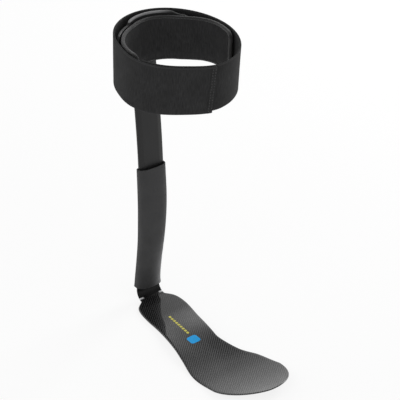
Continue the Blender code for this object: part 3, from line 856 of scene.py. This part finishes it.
def strut_section(z, shrink):
    """Bevelled section of the strut. Below the ankle its front is cut back behind the sole's tongue."""
    corner = smooth_step(STRUT_TOP_Z - STRUT_TOP_TAPER, STRUT_TOP_Z, z)
    half = through(STRUT_HALF_W, z) - STRUT_TOP_CUT * corner - shrink
    low = z < ANKLE_Z
    crown = half - (1.0 if low else STRUT_BEVEL_W)
    front, side = (TONGUE_T + GAP, TONGUE_T + GAP + 0.4) if low else (0.0, STRUT_BEVEL_D)
    back = STRUT_T
    if low:
        share = smooth_step(STRUT_FOOT_Z, STRUT_FOOT_Z + SPAR_TAPER, z)
        back = front + (STRUT_T - front) * (SPAR_FOOT_SHARE + (1 - SPAR_FOOT_SHARE) * share)
    shape = [(-half, side + shrink), (-crown, front + shrink), (crown, front + shrink), (half, side + shrink)]
    shape += [(half, back - shrink), (-half, back - shrink)]
    normal = strut_lean(z)
    face = Vector((strut_front(z), 0, z))
    return [(face + Vector((0, p.x, 0)) - normal * p.y, (z, p.x, p.y)) for p in fillet(shape, 0.7)]


def make_strut(finish):
    heights = [(STRUT_FOOT_Z, 0.3), (STRUT_FOOT_Z + 0.3, 0)] + [(z, 0) for z in steps(18, ANKLE_Z - 0.3, 20)]
    heights += [(z, 0) for z in steps(ANKLE_Z + 0.3, STRUT_TOP_Z - 8, 80)]
    heights += [(z, 0) for z in steps(STRUT_TOP_Z - STRUT_TOP_TAPER, STRUT_TOP_Z - 0.5, 8)]
    heights.append((STRUT_TOP_Z, 0.5))
    sections = [strut_section(z, shrink) for z, shrink in heights]
    strut = sweep("strut_spar", sections, finish, crease=28)
    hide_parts("strut", "lower_spar")
    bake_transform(strut)


# ---------------------------------------------------------------- sleeve


def sleeve_ripple(z, angle):
    """Soft creases of the stretched cloth, in millimetres: strongest low on the front, none behind."""
    front = max(0.0, math.cos(angle))
    swell = noise.noise(Vector((z * 0.03, math.sin(angle) * 0.9, math.cos(angle) * 0.9)))
    crease = noise.noise(Vector((z * 0.12, math.sin(angle) * 1.5 + 7, math.cos(angle) * 0.8)))
    low = 1 - smooth_step(30, 110, z)
    return front * (0.7 * swell + 0.5 * low * crease)


def thinning(z, rule):
    low, high, most = rule
    return most * smooth_step(low, high, z)


def sleeve_wall(z, inset, count):
    """Oval outline of the sleeve at height z: boxy behind the strut, bulging in front of it."""
    normal = strut_lean(z)
    middle = Vector((strut_front(z), 0, z)) - normal * STRUT_T / 2
    half = through(STRUT_HALF_W, z) + SLEEVE_SIDE - inset
    wall = []
    for i in range(count):
        angle = 2 * math.pi * i / count
        c, s = math.cos(angle), math.sin(angle)
        if c > 0:
            power, depth = SLEEVE_FRONT_POWER, SLEEVE_FRONT - thinning(z, SLEEVE_THINNING) - inset
        else:
            power, depth = SLEEVE_BACK_POWER, SLEEVE_BACK - inset
        along = math.copysign(abs(c) ** (2 / power), c) * depth + sleeve_ripple(z, angle)
        across = math.copysign(abs(s) ** (2 / power), s) * half
        around = (angle if angle <= math.pi else angle - 2 * math.pi) * 15.0
        wall.append((middle + normal * along + Vector((0, across, 0)), (z, around, inset)))
    return wall


def make_sleeve(cloth, foam, tape, sewing):
    radius = SLEEVE_T / 2
    quarter = [(radius * math.sin(q), radius * math.cos(q)) for q in steps(0, math.pi / 2, 4)]
    low, high = SLEEVE_BOTTOM_Z + radius, SLEEVE_TOP_Z - radius
    walls = [(z, 0) for z in steps(low, high, 74)]
    walls += [(high + s, radius - c) for s, c in quarter[1:]]
    walls += [(high + c, radius + s) for s, c in quarter[:-1]]
    walls += [(z, SLEEVE_T) for z in steps(high, low, 74)]
    walls += [(low - s, radius + c) for s, c in quarter[1:]]
    walls += [(low - c, radius - s) for s, c in quarter[1:-1]]
    sections = [sleeve_wall(z, inset, 72) for z, inset in walls]
    sleeve = sweep("ankle_sleeve", sections, cloth, wrap=True)
    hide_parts("sleeve_lower", "sleeve_upper")
    tendon = make_tendon_pad(foam)
    seam = make_seam_tape(tape)
    rows = make_seam_stitches(sewing)
    for piece in (sleeve, tendon, seam, rows):
        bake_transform(piece)


def make_tendon_pad(foam):
    """Foam strip between the strut's front face and the sleeve."""
    sections = []
    low, high = TENDON_PAD_Z
    shape = [(-1.0, 0), (-1.0, 0.55), (-0.6, 0.9), (0, 1.0), (0.6, 0.9), (1.0, 0.55), (1.0, 0)]
    for z, share in [(low, 0.6)] + [(z, 1.0) for z in steps(low + 1, high - 1, 46)] + [(high, 0.6)]:
        normal = strut_lean(z)
        face = Vector((strut_front(z), 0, z)) + normal * GAP
        full = (TENDON_PAD_T - thinning(z, TENDON_PAD_THINNING)) * share
        outline = fillet([(TENDON_PAD_HALF_W * w, full * d) for w, d in shape], 0.8)
        sections.append([(face + normal * p.y + Vector((0, p.x, 0)), (z, p.x, p.y)) for p in outline])
    pad = sweep("tendon_pad", sections, foam)
    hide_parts("tendon_pad_lower", "tendon_pad_upper")
    return pad


def seam_face(z, depth=0.0):
    """A point on the middle of the sleeve's back, that deep outside it."""
    normal = strut_lean(z)
    return Vector((strut_front(z), 0, z)) - normal * (STRUT_T / 2 + SLEEVE_BACK + GAP + depth), normal


def make_seam_tape(tape):
    """The flat tape that closes the sleeve down its back."""
    sections = []
    for z in steps(SLEEVE_BOTTOM_Z + GAP, SLEEVE_TOP_Z - GAP, 60):
        face, normal = seam_face(z)
        outline = flat_section(-SEAM_TAPE_HALF_W, SEAM_TAPE_HALF_W, SEAM_TAPE_T, 0.3, 8, 3)
        sections.append(
            [(face + Vector((0, y, 0)) - normal * (SEAM_TAPE_T - d), (z, y, d)) for y, d in outline]
        )
    piece = sweep("sleeve_seam_tape", sections, tape)
    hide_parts("sleeve_seam_lower", "sleeve_seam_upper")
    return piece


def make_seam_stitches(sewing):
    path = []
    for z in steps(SLEEVE_BOTTOM_Z + 2, SLEEVE_TOP_Z - 2, 48):
        face, normal = seam_face(z, SEAM_TAPE_T)
        up = Vector((-normal.z, 0, normal.x))
        for y in (-3.6, 3.6):
            path.append((face + Vector((0, y, 0)), up, -normal))
    return stitches("sleeve_seam_stitches", path, 2.2, 0.22, sewing)


# ---------------------------------------------------------------- calf cuff


def corner_cut(distance, radius):
    """How far a round corner cuts in an edge, at a distance along it from the edge's end."""
    inside = max(0.0, radius - distance)
    return radius - math.sqrt(max(0.0, radius**2 - inside**2))


def make_shell(finish):
    """The stiff calf shell, with large round corners and a trimmed edge."""

    def rounding(angle):
        ends = min(abs(arc_length(end, angle, shell_depth)) for end in SHELL_ANGLES)
        return corner_cut(ends, SHELL_CORNER)

    shell = strip(
        "calf_shell_plate", *SHELL_ANGLES, shell_depth, SHELL_T,
        lambda a: SHELL_BOTTOM + rounding(a), lambda a: shell_top(a) - rounding(a), finish, "shell_plastic",
        corner=0.6, pitch=1.2,
    )
    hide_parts("calf_shell")
    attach(shell, "calf")


def make_rivets(metal):
    """A domed rivet head inside the shell, and its washer and closed end behind the strut."""
    for number, z in enumerate(RIVET_HEIGHTS, 1):
        normal = strut_lean(z)
        rotation = normal.to_track_quat("Z", "Y")
        face = Vector((strut_front(z), 0, z))
        inside = ring_point(0, z - RING_BOTTOM["z"], shell_depth(0) + SHELL_T)
        seat = (inside - face).dot(normal) + 0.1
        tail = -(STRUT_T + GAP)
        turns = steps(0, math.pi / 2 * 0.98, 8)
        profile = [(tail - 1.1, 0.9), (tail - 1.1, 1.3), (tail - 0.9, 1.8)]
        profile += [(seat, RIVET_SHANK_R), (seat, RIVET_HEAD_R - 0.2)]
        profile += [(seat + RIVET_HEAD_T * math.sin(q), RIVET_HEAD_R * math.cos(q)) for q in turns]
        rivet = turned(f"rivet_{number}", face, rotation, profile, metal)
        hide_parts(f"shell_rivet_{number}")
        ring = [(-0.8, 3.4), (-0.7, 3.65), (-0.1, 3.7), (0, 3.6), (0, 2.2), (-0.8, 2.2)]
        ring = [(tail + along, radius) for along, radius in ring]
        washer = turned(f"washer_{number}", face, rotation, ring, metal)
        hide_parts(f"rivet_washer_{number}")
        for piece in (rivet, washer):
            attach(piece, "calf")


def make_hooks(finish):
    """Hook strips on the shell's inner face, and the patch behind the strut that holds the strap."""
    for name, middle in PAD_HOOKS.items():
        piece = strip(
            f"{name}_strip", middle - 10, middle + 10, lambda a: shell_depth(a) + SHELL_T + GAP, HOOK_T,
            0.12 * STRAP_W, 0.86 * STRAP_W, finish, "hook_tape", corner=0.2,
        )
        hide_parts(name)
        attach(piece, "calf")
    sections = []
    for z in steps(*STRAP_PATCH_Z, 8):
        normal = strut_lean(z)
        face = Vector((strut_front(z), 0, z)) - normal * (STRUT_T + GAP)
        outline = flat_section(-11.0, 11.0, 1.4, 0.4, 12, 3)
        sections.append([(face + Vector((0, y, 0)) - normal * d, (z, y, d)) for y, d in outline])
    patch = sweep("strap_hook_pad", sections, finish)
    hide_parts("strap_hook_patch")
    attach(patch, "calf")


def pad_corner(angle):
    """How far the pad's long edges are cut in at an angle, by its round corners."""
    per_degree = 1.02  # millimetres along the pad
    return corner_cut(min(angle - PAD_ANGLES[0], PAD_ANGLES[1] - angle) * per_degree, PAD_CORNER)


def puff(pad):
    """Cloth simulation: the pad's cover, held at its bound edge, swells with the foam inside it. Each
    point then moves at most the cap, and the outer face stays against the shell."""
    rest = [v.co.copy() for v in pad.data.vertices]
    lay = [Vector(item.vector) for item in pad.data.attributes["lay"].data]
    held = pad.vertex_groups.new(name="held")
    margin = 4.0
    for v in pad.data.vertices:
        along, height, _ = lay[v.index]
        near_end = along < PAD_ENDS[0] + margin or along > PAD_ENDS[1] - margin
        if height < PAD_LOW + margin or height > PAD_HIGH - margin or near_end:
            held.add([v.index], 1.0, "REPLACE")
    cloth = pad.modifiers.new("cover", "CLOTH")
    cloth.settings.quality = 6
    cloth.settings.use_pressure = True
    cloth.settings.uniform_pressure_force = 4.0
    cloth.settings.tension_stiffness = 12
    cloth.settings.compression_stiffness = 12
    cloth.settings.bending_stiffness = 0.4
    cloth.settings.vertex_group_mass = "held"
    cloth.settings.effector_weights.gravity = 0.0
    cloth.point_cache.frame_start, cloth.point_cache.frame_end = 1, 20
    scene = bpy.context.scene
    for number in range(1, 21):
        scene.frame_set(number)
    puffed = pad.evaluated_get(bpy.context.evaluated_depsgraph_get()).data
    moved = [v.co.copy() for v in puffed.vertices]
    pad.modifiers.remove(cloth)
    scene.frame_set(1)
    cap = PAD_COVER_CAP * MM
    for v, was, now, where in zip(pad.data.vertices, rest, moved, lay):
        shift = now - was
        if where.z < PAD_T / 2:
            shift *= 0.05
        v.co = was + shift * min(1.0, cap / max(shift.length, 1e-9))


def pad_squeeze(along, height):
    """How much thinner than its middle the pad is there, drawn together by its bound edges."""
    inside = min(height - PAD_LOW, PAD_HIGH - height, along - PAD_ENDS[0], PAD_ENDS[1] - along)
    return (PAD_T - PAD_EDGE_T) * (1 - smooth_step(PAD_EDGE_REACH * 0.4, PAD_EDGE_REACH + 8.0, inside))


def lining_swell(along, height, depth):
    """Depth added to a point of the pad, in millimetres: the squeeze at its edges, and a soft unevenness."""
    share = min(1.0, depth / PAD_T)
    across = min(1.0, max(0.0, (height - PAD_LOW) / (PAD_HIGH - PAD_LOW)))
    uneven = 0.35 * noise.noise(Vector((along * 0.04, height * 0.05, 3.0))) * math.sin(math.pi * across)
    return (uneven - pad_squeeze(along, height)) * share


def make_pad(lining, tape, sewing):
    """Calf pad: a padded cover whose lining crowns inwards between its bound edges."""
    inset = 0.6
    pad = strip(
        "calf_pad", PAD_ANGLES[0] + 0.5, PAD_ANGLES[1] - 0.5,
        lambda a: pad_depth(a) + GAP, PAD_T - PAD_SKIN_T,
        lambda a: PAD_LOW + inset + pad_corner(a), lambda a: PAD_HIGH - inset - pad_corner(a),
        lining, "lining_cloth", corner=1.8, pitch=1.5, across=26, ripple=lining_swell,
    )
    puff(pad)
    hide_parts("pad_loop_backing", "pad_foam", "pad_lining")
    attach(pad, "calf")
    binding = make_pad_binding(tape)
    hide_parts("pad_binding_top", "pad_binding_bottom")
    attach(binding, "calf")
    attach(stitches("pad_binding_stitches", binding_stitch_path(), 2.0, 0.2, sewing), "calf")


def pad_spot(along, height, depth):
    """A point of the pad at a distance along it, a height and a depth into it."""
    side = 1 if along > 0 else 0
    angle = along / PAD_ENDS[side] * PAD_ANGLES[side]
    return ring_point(angle, height, pad_depth(angle) + depth)


def pad_rim(pitch):
    """Points round the pad's outline in its own flat shape: (along, height) and the inward direction."""
    (first, last), low, high, r = PAD_ENDS, PAD_LOW, PAD_HIGH, PAD_CORNER
    right, left, lower, upper = last - r, first + r, low + r, high - r
    corners = [(right, lower, -90), (right, upper, 0), (left, upper, 90), (left, lower, 180)]
    rim = []
    for i, (x, y, start) in enumerate(corners):
        for k in range(9):
            a = math.radians(start + 90 * k / 8)
            rim.append((x + r * math.cos(a), y + r * math.sin(a), -math.cos(a), -math.sin(a)))
        nx, ny, nstart = corners[(i + 1) % 4]
        a = math.radians(start + 90)
        x0, y0 = x + r * math.cos(a), y + r * math.sin(a)
        x1, y1 = nx + r * math.cos(a), ny + r * math.sin(a)
        count = max(2, round(math.hypot(x1 - x0, y1 - y0) / pitch))
        for k in range(1, count):
            t = k / count
            rim.append((x0 + (x1 - x0) * t, y0 + (y1 - y0) * t, -math.cos(a), -math.sin(a)))
    return rim


def make_pad_binding(tape):
    """Tape folded over the pad's edge all the way round, as one loop with a u-shaped section."""
    reach, thick, full = PAD_EDGE_REACH, 0.7, PAD_EDGE_T
    outer = [(reach, 0.0), (1.4, 0.0), (0.4, 0.5), (0.0, full / 2)]
    outer += [(0.4, full - 0.5), (1.4, full), (reach, full)]
    inner = [(reach, full - thick), (1.7, full - thick), (1.0, full / 2), (1.7, thick), (reach, thick)]
    outline = fillet(outer + inner, 0.5, 2)
    sections, travelled, before = [], 0.0, None
    for along, height, inx, iny in pad_rim(2.2):
        spot = pad_spot(along, height, 0)
        travelled += (spot - before).length if before else 0.0
        before = spot
        sections.append(
            [(pad_spot(along + inx * w, height + iny * w, d), (travelled, w, d)) for w, d in outline]
        )
    return sweep("pad_binding", sections, tape, wrap=True)


def binding_stitch_path():
    path = []
    reach = PAD_EDGE_REACH - 0.7
    for along, height, inx, iny in pad_rim(3.0):
        along, height = along + inx * reach, height + iny * reach
        spot = pad_spot(along, height, PAD_EDGE_T)
        ahead = pad_spot(along - iny, height + inx, PAD_EDGE_T)
        out = spot - pad_spot(along, height, PAD_EDGE_T - 1)
        path.append((spot, (ahead - spot).normalized(), out.normalized()))
    return path


def strap_ripple(along, height, depth):
    """The strap's slight waviness, in millimetres of depth."""
    return 0.3 * noise.noise(Vector((along * 0.025, height * 0.02, 1.0)))


def make_strap(cloth, hook, sewing):
    """The strap in two halves that meet, joined, at the middle of the back."""

    def half(name, end, depth_at):
        return strip(
            name, 0, end, depth_at, STRAP_T, 0, STRAP_W, cloth, "strap_elastic",
            corner=0.8, across=26, pitch=1.8, ripple=strap_ripple, round_ends=(False, True),
        )

    outer = half("strap_outer_half", -FLAP_END_ANGLE, flap_depth)
    inner = half("strap_inner_half", UNDER_END_ANGLE, lambda a: 0.0)
    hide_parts("strap_back", "strap_flap", "flap_end_hem")
    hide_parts("strap_under", "under_end_hem")
    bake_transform(outer)
    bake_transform(inner)
    make_hem("flap_hem", -FLAP_END_ANGLE, 5.4, flap_depth, "flap", cloth, sewing)
    make_hem("under_hem", UNDER_END_ANGLE, -5.4, lambda a: 0.0, "under_arm", cloth, sewing)
    patch = strip(
        "flap_hook_strip", -FLAP_END_ANGLE + 6, -FLAP_HOOK_ANGLE,
        lambda a: flap_depth(a) + STRAP_T + GAP, 0.8,
        0.06 * STRAP_W, 0.94 * STRAP_W, hook, "hook_tape", corner=0.2,
    )
    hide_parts("flap_hook_patch")
    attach(patch, "flap")


def make_hem(name, end, width, depth_at, body, cloth, sewing):
    """The strap's folded and sewn end: a second layer of cloth on its outer face, and two rows of
    stitches."""
    lift = 0.7
    piece = strip(
        name, end + math.copysign(0.2, width), end + width, lambda a: depth_at(a) - lift, lift + 0.5,
        0.4, STRAP_W - 0.4, cloth, "strap_elastic", corner=0.4, pitch=0.8, across=26, ripple=strap_ripple,
    )
    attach(piece, body)
    path = []
    for share in (0.28, 0.74):
        angle = end + width * share
        for height in steps(3.0, STRAP_W - 3.0, 15):
            spot = ring_point(angle, height, depth_at(angle) - lift + 0.05)
            out = spot - ring_point(angle, height, depth_at(angle) + 1)
            up = ring_point(angle, height + 1, depth_at(angle) - lift + 0.05) - spot
            path.append((spot, up.normalized(), out.normalized()))
    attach(stitches(f"{name}_stitches", path, 2.3, 0.22, sewing), body)


PAD_ENDS = (
    -arc_length(0, PAD_ANGLES[0], lambda a: pad_depth(a) + PAD_T / 2),
    arc_length(0, PAD_ANGLES[1], lambda a: pad_depth(a) + PAD_T / 2),
)


# ---------------------------------------------------------------- studio


def make_floor(finish):
    mesh = bpy.data.meshes.new("floor")
    size = 4.0
    low = min(cad_box[0][2], 0.0) - 0.0002
    corners = [(-size, -size, low), (size, -size, low), (size, size, low), (-size, size, low)]
    mesh.from_pydata(corners, [], [(0, 1, 2, 3)])
    mesh.materials.append(finish)
    floor = bpy.data.objects.new("floor", mesh)
    bpy.context.scene.collection.objects.link(floor)


def make_world():
    """A white studio: bright walls all round, and a greyer ceiling."""
    world = bpy.data.worlds.new("studio")
    world.use_nodes = True
    nodes, links = world.node_tree.nodes, world.node_tree.links
    place, parts, fade = (nodes.new("ShaderNode" + kind) for kind in ("TexCoord", "SeparateXYZ", "MapRange"))
    links.new(place.outputs["Generated"], parts.inputs[0])
    links.new(parts.outputs["Z"], fade.inputs["Value"])
    for socket, value in zip(fade.inputs[1:], (0.45, 0.85, WALL_LIGHT, CEILING_LIGHT)):
        socket.default_value = value
    background = nodes["Background"]
    background.inputs["Color"].default_value = (1, 1, 1, 1)
    links.new(fade.outputs[0], background.inputs["Strength"])
    bpy.context.scene.world = world


def soft_light(name, place, aim, size, power):
    data = bpy.data.lights.new(name, "AREA")
    data.size = size
    data.energy = power
    light = bpy.data.objects.new(name, data)
    bpy.context.scene.collection.objects.link(light)
    light.location = place
    light.rotation_euler = (Vector(place) - Vector(aim)).to_track_quat("Z", "Y").to_euler()


def make_camera():
    azimuth, elevation, distance = math.radians(55), math.radians(31), 2.3
    level = math.cos(elevation)
    back = Vector((math.sin(azimuth) * level, -math.cos(azimuth) * level, math.sin(elevation)))
    data = bpy.data.cameras.new("camera")
    data.sensor_width = 36
    data.lens = 36 * distance / 0.4  # a view 0.4 m wide at the object
    camera = bpy.data.objects.new("camera", data)
    bpy.context.scene.collection.objects.link(camera)
    camera.location = Vector((0.0722, -0.0042, 0.170)) + back * distance
    camera.rotation_euler = back.to_track_quat("Z", "Y").to_euler()
    bpy.context.scene.camera = camera


def main():
    bpy.context.scene.view_settings.view_transform = "Standard"
    make_camera()
    make_world()
    soft_light("key", (0.5, -1.6, 1.6), (0, 0, 0.2), 1.2, 3)
    soft_light("side", (-0.4, 1.8, 0.8), (0, 0, 0.15), 0.8, 16)
    make_floor(pale_floor())

    hook = hook_tape()
    tape = binding_tape("binding_tape_finish", grey(0.019))
    sewing = thread()
    strap_cloth = ribbed_cloth("strap_loop_cloth", grey(0.021), 1.5, 0.10, (1.2, STRAP_W - 1.2))
    make_sole(carbon_twill())
    make_marks(print_ink("yellow_ink", (0.75, 0.68, 0.10)), print_ink("blue_ink", (0.0, 0.42, 0.95)))
    make_strut(strut_satin())
    make_sleeve(knit("sleeve_knit", grey(0.041), 1.1, 0.08), open_foam(), tape, sewing)
    make_shell(shell_plastic())
    make_rivets(dark_metal())
    make_hooks(hook)
    make_pad(ribbed_cloth("pad_lining_cloth", grey(0.027), 1.4, 0.12), tape, sewing)
    make_strap(strap_cloth, hook, sewing)


main()
